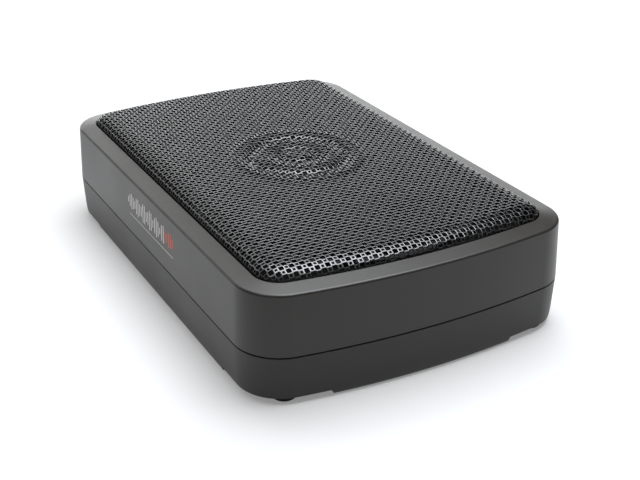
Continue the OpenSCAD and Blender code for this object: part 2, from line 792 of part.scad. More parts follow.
module control_panel() {
  in_w = window_w/2 - cut_gap;
  low = z_window + cut_gap;
  high = z_window + window_h - cut_gap;
  color([0.12, 0.12, 0.12]) difference() {
    union() {
      translate([-in_w - flange_lap, panel_back - flange_y, low - flange_lap])
        cube([2*(in_w + flange_lap), flange_y, high - low + 2*flange_lap]);
      translate([0, 0, low]) linear_extrude(high - low) intersection() {
        polygon(plan_points(0));
        translate([-in_w, panel_back - eps]) square([2*in_w, 50]);
      }
    }
    translate([-in_w + frame_t, panel_face, low + frame_t])
      cube([2*(in_w - frame_t), 40, high - low - 2*frame_t]);
    // room behind the face
    translate([-in_w + frame_t, panel_back - flange_y - 1, low + frame_t])
      cube([2*(in_w - frame_t), flange_y + 1, high - low - 2*frame_t]);
    panel_hole(power_x, row_low, power_w, power_h);
    panel_hole(speaker_x, row_low, speaker_w, speaker_h);
    panel_hole(remote_x, row_low, remote_w, remote_h);
    panel_hole(fuse_x, row_low, holder_w, holder_h);
    panel_hole(phase_x + phase_travel/2, row_high, slider_w + phase_travel, slider_h);
    for (x = phono_x) along_y(x, panel_back - 1, row_low)
      cylinder(d = phono_d + 2*cut_gap, h = panel_t + 2);
    for (x = knob_x) along_y(x, panel_back - 1, row_high)
      cylinder(r = bush_r + cut_gap, h = panel_t + 2);
    along_y(led_x, panel_back - 1, row_high) cylinder(r = led_r + run_gap, h = panel_t + 2);
    for (p = panel_screw_spots) along_y(p[0], panel_back - 1, p[1])
      cylinder(r = panel_screw_r + screw_gap, h = panel_t + 2);
  }
}

module panel_standoffs() {
  color("silver") for (p = panel_screw_spots) along_y(p[0], control_y, p[1])
    ring(2.8, panel_screw_r + run_gap, control_gap);
}

module panel_screws() {
  color([0.1, 0.1, 0.1]) for (p = panel_screw_spots) {
    along_y(p[0], panel_face, p[1]) difference() {
      cylinder(r = panel_screw_head_r, h = 1.6);
      translate([0, 0, 0.7]) cylinder(r = 1.3, h = 2, $fn = 6);
    }
    along_y(p[0], panel_face - panel_t - 6, p[1])
      cylinder(r = panel_screw_r, h = panel_t + 6 + eps);
  }
}

// Socket shell, open towards +Y
module socket_shell(x, w, h) {
  depth = panel_face + socket_out - control_y;
  difference() {
    block(x, control_y, row_low, w, depth, h);
    block(x, control_y + socket_floor, row_low, w - 2*shell_t, depth, h - 2*shell_t);
  }
}

module power_socket() {
  color([0.1, 0.1, 0.1]) difference() {
    socket_shell(power_x, power_w, power_h);
    block(power_x, control_y + 12, row_low + power_h/2 - 1, 7, 20, 3);
    for (i = [-1.5:1.5]) block(power_x + power_pitch*i, control_y - 1, row_low,
      4 + 2*run_gap, socket_floor + 2, 1 + 2*run_gap);
  }
}

module power_pins() {
  color("gold") for (i = [-1.5:1.5])
    block(power_x + power_pitch*i, control_y, row_low, 4, socket_floor + pin_l, 1);
}

module speaker_socket() {
  color("ghostwhite") difference() {
    socket_shell(speaker_x, speaker_w, speaker_h);
    at_speaker_pins() block(0, control_y - 1, 0, speaker_pin + 2*run_gap, socket_floor + 2,
      speaker_pin + 2*run_gap);
  }
}

module at_speaker_pins() {
  for (i = [-1, 1]) for (k = [-1, 1])
    translate([speaker_x + speaker_pitch[0]*i, 0, row_low + speaker_pitch[1]*k]) children();
}

module speaker_pins() {
  color("gold") at_speaker_pins()
    block(0, control_y, 0, speaker_pin, socket_floor + pin_l - 2, speaker_pin);
}

module phono_jacks() {
  r = phono_d/2;
  bore = r - phono_shell_t;
  flange_h = control_gap - 0.2;
  neck_end = control_gap + panel_t + 0.4;
  color("silver") for (x = phono_x) {
    along_y(x, control_y, row_low) ring(r + 1.6, bore, flange_h);
    along_y(x, control_y + flange_h - eps, row_low)
      ring(r - phono_neck, bore, neck_end - flange_h + 2*eps);
    along_y(x, control_y + neck_end, row_low)
      ring(r, bore, control_gap + panel_t + phono_l - neck_end);
  }
}

module phono_insulator(x) {
  along_y(x, control_y, row_low)
    ring(phono_d/2 - phono_shell_t - run_gap, 1.65, control_gap + panel_t + phono_l - 0.8);
}

module phono_insulator_left() {
  color("white") phono_insulator(phono_x[0]);
}

module phono_insulator_right() {
  color("crimson") phono_insulator(phono_x[1]);
}

module remote_jack() {
  color([0.13, 0.13, 0.13]) difference() {
    socket_shell(remote_x, remote_w, remote_h);
    block(remote_x, control_y + socket_floor, row_low - remote_h/2 + 1.6, 4.4, 30, 2);
  }
}

module fuse_holder() {
  depth = control_gap + panel_t + 2;
  color([0.1, 0.1, 0.1]) difference() {
    block(fuse_x, control_y, row_low, holder_w, depth, holder_h);
    block(fuse_x, control_y + 5, row_low, fuse_w + 2*cut_gap, depth, fuse_h + 2*cut_gap);
    for (i = [-1, 1])
      block(fuse_x + blade_pitch*i, control_y - 1, row_low, 5 + 4*run_gap, 8, 0.8 + 4*run_gap);
  }
}

module fuse() {
  depth = control_gap + panel_t + 4 - 5;
  color("darkorange") difference() {
    block(fuse_x, control_y + 5, row_low, fuse_w, depth, fuse_h);
    block(fuse_x, control_y + depth + 2, row_low + fuse_h/2, 11, 6, 1.6);
    block(fuse_x, control_y + depth + 2, row_low - fuse_h/2, 11, 6, 1.6);
  }
  color("silver") for (i = [-1, 1])
    block(fuse_x + blade_pitch*i, control_y + 1, row_low, 5, 4 + eps, 0.8);
}

module potentiometers() {
  color([0.55, 0.55, 0.56]) for (x = knob_x) {
    difference() {
      union() {
        block(x, control_y, row_high, 15, 6.4, 15);
        along_y(x, control_y + 6, row_high) cylinder(r = bush_r, h = control_gap - 6 + panel_t + 0.6);
      }
      along_y(x, control_y + 1.5, row_high) cylinder(r = shaft_d/2 + run_gap, h = 30);
    }
  }
}

module shaft(x) {
  color("silver") along_y(x, control_y + 2, row_high)
    cylinder(d = shaft_d, h = panel_face + knob_gap + knob_l - 2 - control_y - 2);
}

module gain_shaft() {
  shaft(knob_x[0]);
}

module crossover_shaft() {
  shaft(knob_x[1]);
}

module bass_shaft() {
  shaft(knob_x[2]);
}

// Fluted knob with a pointer groove, the groove at the top when the knob is at rest
module knob(x) {
  r = knob_d/2;
  flutes = 18;
  color([0.09, 0.09, 0.09]) along_y(x, panel_face + knob_gap, row_high) difference() {
    union() {
      cylinder(r = r, h = 1.6);
      rotate_extrude() polygon([[0, 0], [r - 1, 0], [r - 1, knob_l - 0.6], [r - 1.6, knob_l],
        [0, knob_l]]);
    }
    for (i = [0:flutes - 1]) rotate([0, 0, 360*i/flutes]) translate([r - 0.7, 0, 1.6])
      cylinder(r = 0.5, h = knob_l);
    translate([-0.5, -r + 1.4, knob_l - 0.5]) cube([1, r - 3, 1]);
    translate([0, 0, -1]) cylinder(r = shaft_d/2 + run_gap, h = knob_l - 1);
  }
}

module gain_knob() {
  knob(knob_x[0]);
}

module crossover_knob() {
  knob(knob_x[1]);
}

module bass_knob() {
  knob(knob_x[2]);
}

module phase_switch() {
  mid = phase_x + phase_travel/2;
  w = slider_w + phase_travel;
  color("silver") difference() {
    block(mid, control_y, row_high, w + 8, control_gap - 0.2, 9);
    block(mid, control_y + 3, row_high, w + 2*cut_gap, 20, slider_h + 2*cut_gap);
  }
}

module phase_slider() {
  color([0.1, 0.1, 0.1]) block(phase_x, control_y + 3 + cut_gap, row_high,
    slider_w, panel_face + 2 - control_y - 3 - cut_gap, slider_h);
}

module power_led() {
  color([0.2, 0.5, 0.9]) along_y(led_x, control_y, row_high) rotate_extrude()
    polygon(concat([[0, 0], [led_r + 0.5, 0], [led_r + 0.5, 1.2], [led_r, 1.2]],
      [for (i = [0:8]) let(t = 90*i/8)
       [led_r*cos(t), control_gap + panel_t + 0.2 + 1.8*sin(t)]]));
}

top_housing();
bottom_housing();
seam_gasket();
grille();
rubber_feet();
bracket_inserts();
case_screws();
basket();
front_gasket();
surround();
cone();
dust_cap();
voice_coil_former();
voice_coil_winding();
spider();
top_plate();
magnet();
yoke();
terminal_board();
driver_tags();
tinsel_leads();
driver_screws();
speaker_leads();
amp_board();
control_board();
board_connector();
heat_sink();
transistors();
toroid_core();
toroid_winding();
choke_cores();
choke_windings();
capacitors();
board_screws();
control_panel();
panel_standoffs();
panel_screws();
power_socket();
power_pins();
speaker_socket();
speaker_pins();
phono_jacks();
phono_insulator_left();
phono_insulator_right();
remote_jack();
fuse_holder();
fuse();
potentiometers();
gain_shaft();
crossover_shaft();
bass_shaft();
gain_knob();
crossover_knob();
bass_knob();
phase_switch();
phase_slider();
power_led();
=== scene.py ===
import json
import math

import bpy
import numpy as np
from mathutils import Matrix, Vector

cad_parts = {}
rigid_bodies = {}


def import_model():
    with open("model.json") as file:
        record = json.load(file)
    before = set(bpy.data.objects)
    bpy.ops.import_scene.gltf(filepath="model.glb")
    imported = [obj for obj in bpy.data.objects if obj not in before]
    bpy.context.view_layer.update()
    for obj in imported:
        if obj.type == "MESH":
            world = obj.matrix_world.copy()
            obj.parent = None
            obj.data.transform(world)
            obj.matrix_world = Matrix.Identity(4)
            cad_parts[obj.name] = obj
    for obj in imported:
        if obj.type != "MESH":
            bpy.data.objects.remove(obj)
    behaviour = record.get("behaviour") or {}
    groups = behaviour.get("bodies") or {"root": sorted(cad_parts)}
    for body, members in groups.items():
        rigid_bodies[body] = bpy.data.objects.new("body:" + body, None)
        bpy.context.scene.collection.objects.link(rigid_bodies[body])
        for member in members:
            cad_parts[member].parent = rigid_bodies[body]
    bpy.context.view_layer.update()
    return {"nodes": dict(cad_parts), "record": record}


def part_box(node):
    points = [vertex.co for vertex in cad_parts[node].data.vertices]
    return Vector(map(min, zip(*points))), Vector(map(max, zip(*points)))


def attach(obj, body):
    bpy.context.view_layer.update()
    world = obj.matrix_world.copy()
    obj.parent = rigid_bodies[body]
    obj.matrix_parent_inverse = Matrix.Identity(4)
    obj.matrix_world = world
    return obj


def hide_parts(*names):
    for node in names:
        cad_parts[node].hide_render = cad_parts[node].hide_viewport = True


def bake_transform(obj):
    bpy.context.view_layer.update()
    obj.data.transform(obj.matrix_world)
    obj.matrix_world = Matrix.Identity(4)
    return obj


for default_object in list(bpy.data.objects):
    bpy.data.objects.remove(default_object)
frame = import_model()

MM = 0.001


# ---------------------------------------------------------------- camera

def place_camera(azimuth=-28.51, elevation=26.07, roll=0.22, distance=0.867,
                 aim=(0.0283, 0.0189, 0.0), lens=64.66, sensor=36.0):
    """Camera on a sphere about the point aim, in metres and degrees, tilted by roll."""
    azimuth, elevation, roll = (math.radians(a) for a in (azimuth, elevation, roll))
    data = bpy.data.cameras.new("camera")
    cam = bpy.data.objects.new("camera", data)
    bpy.context.collection.objects.link(cam)
    bpy.context.scene.camera = cam
    data.lens = lens
    data.sensor_width = sensor
    data.clip_start = 0.05
    data.clip_end = 60.0
    back = Vector((math.sin(azimuth) * math.cos(elevation),
                   -math.cos(azimuth) * math.cos(elevation), math.sin(elevation)))
    side = (-back).cross(Vector((0, 0, 1))).normalized()
    over = side.cross(-back)
    right = side * math.cos(roll) + over * math.sin(roll)
    above = over * math.cos(roll) - side * math.sin(roll)
    turned = Matrix((right, above, back)).transposed().to_4x4()
    cam.matrix_world = Matrix.Translation(Vector(aim) + back * distance) @ turned


place_camera()


# ---------------------------------------------------------------- sizes, in mm

def node_box(node):
    """Lowest and highest corner of a CAD node in mm, to a tenth, which evens out its facets."""
    return [[round(c / MM, 1) for c in corner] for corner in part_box(node)]


top_lo, top_hi = node_box("top_housing")
base_lo, base_hi = node_box("bottom_housing")
grille_lo, grille_hi = node_box("grille")
panel_lo, panel_hi = node_box("control_panel")
case_screws_hi = node_box("case_screws")[1]
inserts_hi = node_box("bracket_inserts")[1]
board_screws_lo, board_screws_hi = node_box("board_screws")
magnet_lo, magnet_hi = node_box("magnet")

# outline of the housing: straight long sides, round corners and bowed short ends
HALF_W, HALF_L = top_hi[0], -top_lo[1]
CORNER_R, BOW = 31.0, 6.4
CORE_X, CORE_Y = HALF_W - CORNER_R, HALF_L - CORNER_R
BOW_R = (CORE_X ** 2 + BOW ** 2) / (2 * BOW)
BOW_HALF = math.asin(CORE_X / BOW_R)
BOW_CY = CORE_Y - BOW_R

# heights, from the underside up
Z_LAND = base_lo[2]
Z_POCKET = node_box("rubber_feet")[1][2]
Z_FLOOR = Z_POCKET + 2.6
Z_LOW, Z_UP = base_hi[2], top_lo[2]
Z_BAFFLE = grille_lo[2]
Z_UNDER = Z_BAFFLE - 3.0
Z_RIM = top_hi[2]
Z_EDGE = Z_RIM - 1.9

# walls, as insets from the outline
SEAM_WALL = 2.6
RIM_IN, RIM_BACK = 14.0, 11.9
UPPER_WALL = ((0.0, Z_UP), (0.7, 53.3), (1.45, Z_EDGE - 0.05))

# screws and inserts, as centres
CASE_HEAD_R, INSERT_R, BOARD_HEAD_R = 3.5, 3.9, 2.6
CASE_BOSS_R = 4.2
SIDE_X, SIDE_Y = case_screws_hi[0] - CASE_HEAD_R, case_screws_hi[1] - CASE_HEAD_R
END_X = 44.0
END_Y = -(BOW_CY + math.sqrt((BOW_R + CORNER_R - (HALF_W - SIDE_X)) ** 2 - END_X ** 2))
CASE_SCREWS = [(sx * SIDE_X, k * SIDE_Y / 3) for sx in (-1, 1) for k in (-3, -1, 1, 3)]
CASE_SCREWS += [(-END_X, END_Y), (END_X, END_Y)]
INSERTS = [(sx * (inserts_hi[0] - INSERT_R), sy * (inserts_hi[1] - INSERT_R))
           for sx in (-1, 1) for sy in (-1, 1)]
BOARD_SCREWS = [(sx * (board_screws_hi[0] - BOARD_HEAD_R), y) for sx in (-1, 1)
                for y in (board_screws_lo[1] + BOARD_HEAD_R, board_screws_hi[1] - BOARD_HEAD_R)]

# opening for the control panel, which laps it all round, as a box through the end wall
PANEL_LAP = 3.2
WINDOW = (panel_lo[0] + PANEL_LAP, panel_lo[1] + 1.5, panel_lo[2] + PANEL_LAP,
          panel_hi[0] - PANEL_LAP, HALF_L + 15.0, panel_hi[2] - PANEL_LAP)

DRIVER_Y = (magnet_lo[1] + magnet_hi[1]) / 2
FLANGE_SCREW_CIRCLE = 91.6
FLANGE_SCREWS = [(FLANGE_SCREW_CIRCLE * math.cos(math.pi * (i + 0.5) / 4),
                  DRIVER_Y + FLANGE_SCREW_CIRCLE * math.sin(math.pi * (i + 0.5) / 4))
                 for i in range(8)]


# ---------------------------------------------------------------- outline of the housing

def plan(corner_steps=28, bow_steps=32):
    """Centres and outward normals along the housing's outline, anticlockwise."""
    core, normal = [], []

    def add(centre, angle):
        core.append(centre)
        normal.append((math.sin(angle), -math.cos(angle)))

    for i in range(bow_steps + 1):
        t = -BOW_HALF + 2 * BOW_HALF * i / bow_steps
        add((BOW_R * math.sin(t), BOW_R - CORE_Y - BOW_R * math.cos(t)), t)
    for i in range(1, corner_steps + 1):
        t = BOW_HALF + (math.pi / 2 - BOW_HALF) * i / corner_steps
        add((CORE_X, BOW - CORE_Y), t)
    for y in (BOW - CORE_Y + 2.0, -60.0, 0.0, 60.0, CORE_Y - BOW - 2.0):
        add((CORE_X, y), math.pi / 2)
    core, normal = np.array(core), np.array(normal)
    corner = slice(bow_steps + 1, bow_steps + 1 + corner_steps)
    left_core = core[corner][::-1] * (-1, 1)
    left_normal = normal[corner][::-1] * (-1, 1)
    core = np.vstack([left_core, core])
    normal = np.vstack([left_normal, normal])
    return np.vstack([core, -core]), np.vstack([normal, -normal])


CORE, NORMAL = plan()


def level(inset, z):
    """Ring of points along the outline, pulled in by inset, at height z."""
    xy = CORE + NORMAL * (CORNER_R - inset)
    return np.column_stack([xy, np.full(len(xy), z)])


# ---------------------------------------------------------------- mesh helpers

def rounded(points, steps=5):
    """Profile with its corners rounded: each point is (a, b) or (a, b, radius)."""
    out = []
    n = len(points)
    for i, p in enumerate(points):
        r = p[2] if len(p) > 2 else 0
        a, b, c = (np.array(points[k % n][:2], float) for k in (i - 1, i, i + 1))
        if not r:
            out.append(b)
            continue
        u = (a - b) / np.linalg.norm(a - b)
        v = (c - b) / np.linalg.norm(c - b)
        half = math.acos(max(-1, min(1, float(u @ v)))) / 2
        run = r / math.tan(half)
        centre = b + (u + v) / np.linalg.norm(u + v) * r / math.sin(half)
        start, end = b + u * run - centre, b + v * run - centre
        sweep = math.acos(max(-1, min(1, float(start @ end) / r ** 2)))
        for k in range(steps + 1):
            f = k / steps
            w0, w1 = math.sin((1 - f) * sweep), math.sin(f * sweep)
            out.append(centre + (start * w0 + end * w1) / math.sin(sweep))
    return [tuple(p) for p in out]


def shade(ob, angle):
    """Smooth shading, with the edges that are sharper than angle kept sharp."""
    mesh = ob.data
    mesh.polygons.foreach_set("use_smooth", [True] * len(mesh.polygons))
    mesh.set_sharp_from_angle(angle=math.radians(angle))


def even_normals(ob):
    """Large flat faces keep their shading flat up to the rounded edges."""
    mod = ob.modifiers.new("normals", "WEIGHTED_NORMAL")
    mod.keep_sharp = True
    mod.weight = 90


def mesh_object(name, verts, faces, smooth=30):
    """Object from points in mm. smooth is the angle above which an edge stays sharp, or 0."""
    mesh = bpy.data.meshes.new(name)
    mesh.from_pydata((np.asarray(verts, float) * MM).tolist(), [], faces)
    mesh.update()
    ob = bpy.data.objects.new(name, mesh)
    bpy.context.collection.objects.link(ob)
    if smooth:
        shade(ob, smooth)
    return ob


def stack(rings, closed):
    """Wall faces between rings of equal length; closed joins the last ring to the first."""
    n = len(rings[0])
    faces = []
    for j in range(len(rings) if closed else len(rings) - 1):
        a, b = j * n, (j + 1) % len(rings) * n
        faces += [(a + i, a + (i + 1) % n, b + (i + 1) % n, b + i) for i in range(n)]
    return faces


def capped(rings):
    """Closed solid through rings of equal length, with a face over its first and last ring."""
    n = len(rings[0])
    faces = stack(rings, False)
    faces.append(tuple(range(n - 1, -1, -1)))
    faces.append(tuple((len(rings) - 1) * n + i for i in range(n)))
    return np.vstack(rings).tolist(), faces


def outline_ring(name, profile):
    """Ring along the outline, from a closed profile of (inset, z)."""
    rings = [level(*p) for p in profile]
    return mesh_object(name, np.vstack(rings), stack(rings, True))


def outline_dish(name, profile):
    """Dish along the outline: (inset, z) from the closed outside, over the edge, to the inside."""
    return mesh_object(name, *capped([level(*p) for p in profile]))


def lathe(profile, x=0.0, y=0.0, steps=48):
    """Closed solid of revolution about Z through (x, y), from an anticlockwise profile.
    Points on the axis (radius 0) are allowed at the two ends."""
    verts, faces, ring_of = [], [], []
    for r, z in profile:
        if r < 1e-9:
            ring_of.append((len(verts), 1))
            verts.append((x, y, z))
        else:
            ring_of.append((len(verts), steps))
            for k in range(steps):
                a = 2 * math.pi * k / steps
                verts.append((x + r * math.cos(a), y + r * math.sin(a), z))
    n = len(profile)
    for j in range(n):
        (a, points_a), (b, points_b) = ring_of[j], ring_of[(j + 1) % n]
        if points_a == 1 and points_b == 1:
            continue
        for k in range(steps):
            m = (k + 1) % steps
            if points_a == 1:
                faces.append((a, b + m, b + k))
            elif points_b == 1:
                faces.append((a + k, a + m, b))
            else:
                faces.append((a + k, a + m, b + m, b + k))
    return verts, faces


def prism(points, z0, z1):
    """Upright prism on an anticlockwise outline of points, whose x and y are used."""
    return capped([np.array([(p[0], p[1], z) for p in points]) for z in (z0, z1)])


def box_part(x0, y0, z0, x1, y1, z1):
    return prism([(x0, y0), (x1, y0), (x1, y1), (x0, y1)], z0, z1)


def rod(x, y, r, z0, z1, steps=48):
    return lathe([(0, z0), (r, z0), (r, z1), (0, z1)], x, y, steps)


def merge(parts):
    """One list of points and one of faces from several (points, faces) pairs."""
    verts, faces = [], []
    for part_verts, part_faces in parts:
        first = len(verts)
        verts += [tuple(p) for p in part_verts]
        faces += [tuple(i + first for i in face) for face in part_faces]
    return verts, faces


def combine(ob, parts, operation):
    """Boolean of ob with the merged parts, applied."""
    tool = mesh_object("tool", *merge(parts), smooth=0)
    for o in (ob, tool):
        o.data.update()
    mod = ob.modifiers.new("cut", "BOOLEAN")
    mod.operation = operation
    mod.object = tool
    mod.solver = "MANIFOLD"
    depsgraph = bpy.context.evaluated_depsgraph_get()
    result = bpy.data.meshes.new_from_object(ob.evaluated_get(depsgraph))
    ob.modifiers.clear()
    old = ob.data
    ob.data = result
    bpy.data.meshes.remove(old)
    bpy.data.objects.remove(tool)
    if not len(result.polygons):
        raise RuntimeError(f"{ob.name}: the {operation} left nothing")


# ---------------------------------------------------------------- materials

COAT_ROUGH, SMOOTHEST = 0.15, 0.03
SPECK_RANGE, SPECK_TONE = (0.3, 0.7), (0.72, 1.0)    # noise values, and how dark they make the colour
BENT_RANGE = (0.52, 0.64)                            # pointiness from a flat face to a worn edge
MIX_FACTOR, MIX_A, MIX_B, MIX_RESULT = 0, 6, 7, 2    # a colour Mix node's sockets


def rgb(r, g, b):
    """Linear colour of an sRGB one given in 0..255."""
    linear = [c / 255 / 12.92 if c <= 10 else ((c / 255 + 0.055) / 1.055) ** 2.4 for c in (r, g, b)]
    return (*linear, 1.0)


def scaled(colour, times, plus=0.0):
    return [min(1, c * times + plus) for c in colour[:3]] + [1]


def material(name, colour, rough=0.5, metal=0.0, specular=0.5, grain=0.4, grain_depth=0.02,
             blotch=0.12, blotch_size=30.0, rough_var=0.06, wear=0.0, coat=0.0, sheen=0.0,
             aniso=0.0, stretch=(1, 1, 1), lines=None, speckle=0.35):
    """Principled material in object space: fine grain in colour and bump, slow variation of
    colour and roughness, and wear where the surface bends outwards. grain, grain_depth and
    blotch_size are in mm, and lines is (direction, pitch in mm, strength) of fine dark bands."""
    look = bpy.data.materials.new(name)
    look.use_nodes = True
    nodes, links = look.node_tree.nodes, look.node_tree.links

    def put(socket, given):
        if isinstance(given, bpy.types.NodeSocket):
            links.new(given, socket)
        else:
            socket.default_value = given

    def noise(size, detail):
        node = nodes.new("ShaderNodeTexNoise")
        put(node.inputs["Vector"], grid.outputs["Vector"])
        put(node.inputs["Scale"], 1000.0 / size)
        put(node.inputs["Detail"], detail)
        put(node.inputs["Roughness"], 0.5)
        return node.outputs["Fac"]

    def remap(value, start, end):
        node = nodes.new("ShaderNodeMapRange")
        put(node.inputs["Value"], value)
        put(node.inputs["From Min"], start[0])
        put(node.inputs["From Max"], start[1])
        put(node.inputs["To Min"], end[0])
        put(node.inputs["To Max"], end[1])
        return node.outputs["Result"]

    def mix(factor, a, b, how="MIX"):
        node = nodes.new("ShaderNodeMix")
        node.data_type = "RGBA"
        node.blend_type = how
        put(node.inputs[MIX_FACTOR], factor)
        put(node.inputs[MIX_A], a)
        put(node.inputs[MIX_B], b)
        return node.outputs[MIX_RESULT]

    place = nodes.new("ShaderNodeTexCoord")
    grid = nodes.new("ShaderNodeMapping")
    put(grid.inputs["Scale"], stretch)
    put(grid.inputs["Vector"], place.outputs["Object"])
    fine, slow = noise(grain, 2.0), noise(blotch_size, 4.0)

    tint = mix(slow, scaled(colour, 1 - blotch), scaled(colour, 1 + blotch))
    tint = mix(speckle, tint, remap(fine, SPECK_RANGE, SPECK_TONE), "MULTIPLY")
    if wear:
        geometry = nodes.new("ShaderNodeNewGeometry")
        edge = remap(geometry.outputs["Pointiness"], BENT_RANGE, (0.0, wear))
        tint = mix(edge, tint, scaled(colour, 1.8, 0.03))
    if lines:
        direction, pitch, strength = lines
        wave = nodes.new("ShaderNodeTexWave")
        wave.wave_type = "BANDS"
        wave.bands_direction = direction
        put(wave.inputs["Scale"], 1000.0 / pitch / 20)
        put(wave.inputs["Distortion"], 1.5)
        put(wave.inputs["Vector"], place.outputs["Object"])
        tint = mix(strength, tint, wave.outputs["Color"], "MULTIPLY")
    bump = nodes.new("ShaderNodeBump")
    put(bump.inputs["Distance"], grain_depth * MM)
    put(bump.inputs["Strength"], 1.0)
    put(bump.inputs["Height"], fine)

    shader = nodes["Principled BSDF"].inputs
    put(shader["Base Color"], tint)
    put(shader["Roughness"], remap(slow, (0.0, 1.0), (max(SMOOTHEST, rough - rough_var),
                                                      min(1.0, rough + rough_var))))
    put(shader["Normal"], bump.outputs["Normal"])
    put(shader["Metallic"], metal)
    put(shader["Specular IOR Level"], specular)
    put(shader["Coat Weight"], coat)
    put(shader["Coat Roughness"], COAT_ROUGH)
    put(shader["Sheen Weight"], sheen)
    put(shader["Anisotropic"], aniso)
    return look


# one look for each material slot of the record
LOOK = {
    "upper_shell": dict(colour=rgb(37, 34, 31), rough=0.36, specular=0.45, grain=0.5,
                        grain_depth=0.022, blotch=0.05, blotch_size=60, wear=0.25),
    "lower_shell": dict(colour=rgb(35, 33, 31), rough=0.42, specular=0.4, grain=0.4,
                        grain_depth=0.03, blotch=0.06, blotch_size=40, wear=0.2),
    "black_rubber": dict(colour=rgb(26, 26, 26), rough=0.8, specular=0.25, grain=0.8,
                         grain_depth=0.04, blotch=0.2, blotch_size=12),
    "grille_steel": dict(colour=rgb(30, 30, 31), rough=0.22, specular=1.0, grain=0.35,
                         grain_depth=0.005, blotch=0.12, blotch_size=18, rough_var=0.05),
    "black_steel": dict(colour=rgb(22, 22, 23), rough=0.5, specular=0.35, grain=0.5,
                        grain_depth=0.015, blotch=0.15, blotch_size=15, wear=0.15),
    "zinc_steel": dict(colour=rgb(186, 188, 190), rough=0.32, metal=1.0, grain=0.6,
                       grain_depth=0.01, blotch=0.16, blotch_size=9, rough_var=0.1),
    "black_screw": dict(colour=rgb(30, 30, 31), rough=0.38, metal=0.6, grain=0.3,
                        grain_depth=0.01, blotch=0.2, blotch_size=3, wear=0.5),
    "brass": dict(colour=rgb(214, 178, 92), rough=0.28, metal=1.0, grain=0.5,
                  grain_depth=0.008, blotch=0.12, blotch_size=4),
    "ferrite": dict(colour=rgb(52, 52, 54), rough=0.62, grain=0.7, grain_depth=0.03,
                    blotch=0.25, blotch_size=6, wear=0.3),
    "copper_wire": dict(colour=rgb(190, 98, 46), rough=0.26, metal=1.0, grain=0.6,
                        grain_depth=0.006, blotch=0.15, blotch_size=5, coat=0.4),
    "cone_paper": dict(colour=rgb(20, 19, 19), rough=0.85, specular=0.2, grain=0.9,
                       grain_depth=0.09, blotch=0.35, blotch_size=7, sheen=0.15),
    "surround_rubber": dict(colour=rgb(16, 16, 16), rough=0.6, specular=0.25, grain=0.5,
                            grain_depth=0.012, blotch=0.15, blotch_size=14),
    "spider_cloth": dict(colour=rgb(190, 152, 84), rough=0.85, grain=0.6, grain_depth=0.12,
                         blotch=0.22, blotch_size=5, sheen=0.2, lines=("DIAGONAL", 0.9, 0.35)),
    "former_sheet": dict(colour=rgb(150, 92, 44), rough=0.35, grain=0.6, grain_depth=0.01,
                         blotch=0.15, blotch_size=6, coat=0.3),
    "gasket_foam": dict(colour=rgb(28, 28, 28), rough=0.9, specular=0.2, grain=0.6,
                        grain_depth=0.15, blotch=0.3, blotch_size=3),
    "phenolic": dict(colour=rgb(112, 66, 32), rough=0.5, grain=0.5, grain_depth=0.02,
                     blotch=0.25, blotch_size=4, stretch=(0.3, 1, 1)),
    "tinsel": dict(colour=rgb(196, 170, 140), rough=0.35, metal=1.0, grain=0.35,
                   grain_depth=0.08, blotch=0.3, blotch_size=1.2, lines=("DIAGONAL", 0.6, 0.4)),
    "lead_red": dict(colour=rgb(150, 22, 20), rough=0.45, grain=0.6, grain_depth=0.015,
                     blotch=0.12, blotch_size=8),
    "circuit_board": dict(colour=rgb(18, 84, 44), rough=0.36, grain=0.9, grain_depth=0.02,
                          blotch=0.3, blotch_size=3.5, coat=0.3, lines=("X", 2.4, 0.25)),
    "white_plastic": dict(colour=rgb(226, 224, 216), rough=0.38, grain=0.5, grain_depth=0.01,
                          blotch=0.05, blotch_size=10),
    "raw_aluminium": dict(colour=rgb(200, 202, 205), rough=0.34, metal=1.0, grain=0.3,
                          grain_depth=0.015, blotch=0.12, blotch_size=6, stretch=(1, 1, 0.08),
                          aniso=0.4),
    "transistor_body": dict(colour=rgb(32, 32, 33), rough=0.55, grain=0.4, grain_depth=0.02,
                            blotch=0.15, blotch_size=3),
    "toroid_green": dict(colour=rgb(96, 118, 44), rough=0.4, grain=0.7, grain_depth=0.02,
                         blotch=0.15, blotch_size=5),
    "ferrite_drum": dict(colour=rgb(44, 44, 46), rough=0.6, grain=0.5, grain_depth=0.02,
                         blotch=0.2, blotch_size=4),
    "capacitor_sleeve": dict(colour=rgb(30, 38, 92), rough=0.26, grain=1.0, grain_depth=0.01,
                             blotch=0.1, blotch_size=8, coat=0.4),
    "black_plastic": dict(colour=rgb(36, 36, 37), rough=0.5, grain=0.4, grain_depth=0.03,
                          blotch=0.1, blotch_size=16, wear=0.25),
    "nickel": dict(colour=rgb(206, 203, 196), rough=0.16, metal=1.0, grain=0.5,
                   grain_depth=0.004, blotch=0.08, blotch_size=4),
    "red_plastic": dict(colour=rgb(186, 26, 22), rough=0.34, grain=0.5, grain_depth=0.01,
                        blotch=0.06, blotch_size=6),
    "fuse_orange": dict(colour=rgb(236, 120, 26), rough=0.22, grain=0.6, grain_depth=0.008,
                        blotch=0.06, blotch_size=5, coat=0.3),
    "knob_plastic": dict(colour=rgb(34, 34, 35), rough=0.42, grain=0.35, grain_depth=0.025,
                         blotch=0.1, blotch_size=6, wear=0.35),
    "led_lens": dict(colour=rgb(96, 150, 236), rough=0.18, grain=0.5, grain_depth=0.004,
                     blotch=0.05, blotch_size=3, coat=0.5),
}
MATS = {name: material(name + "_look", **look) for name, look in LOOK.items()}
SLOT_OF = {row["node"]: row["material_slot"] for row in frame["record"]["subparts"]}

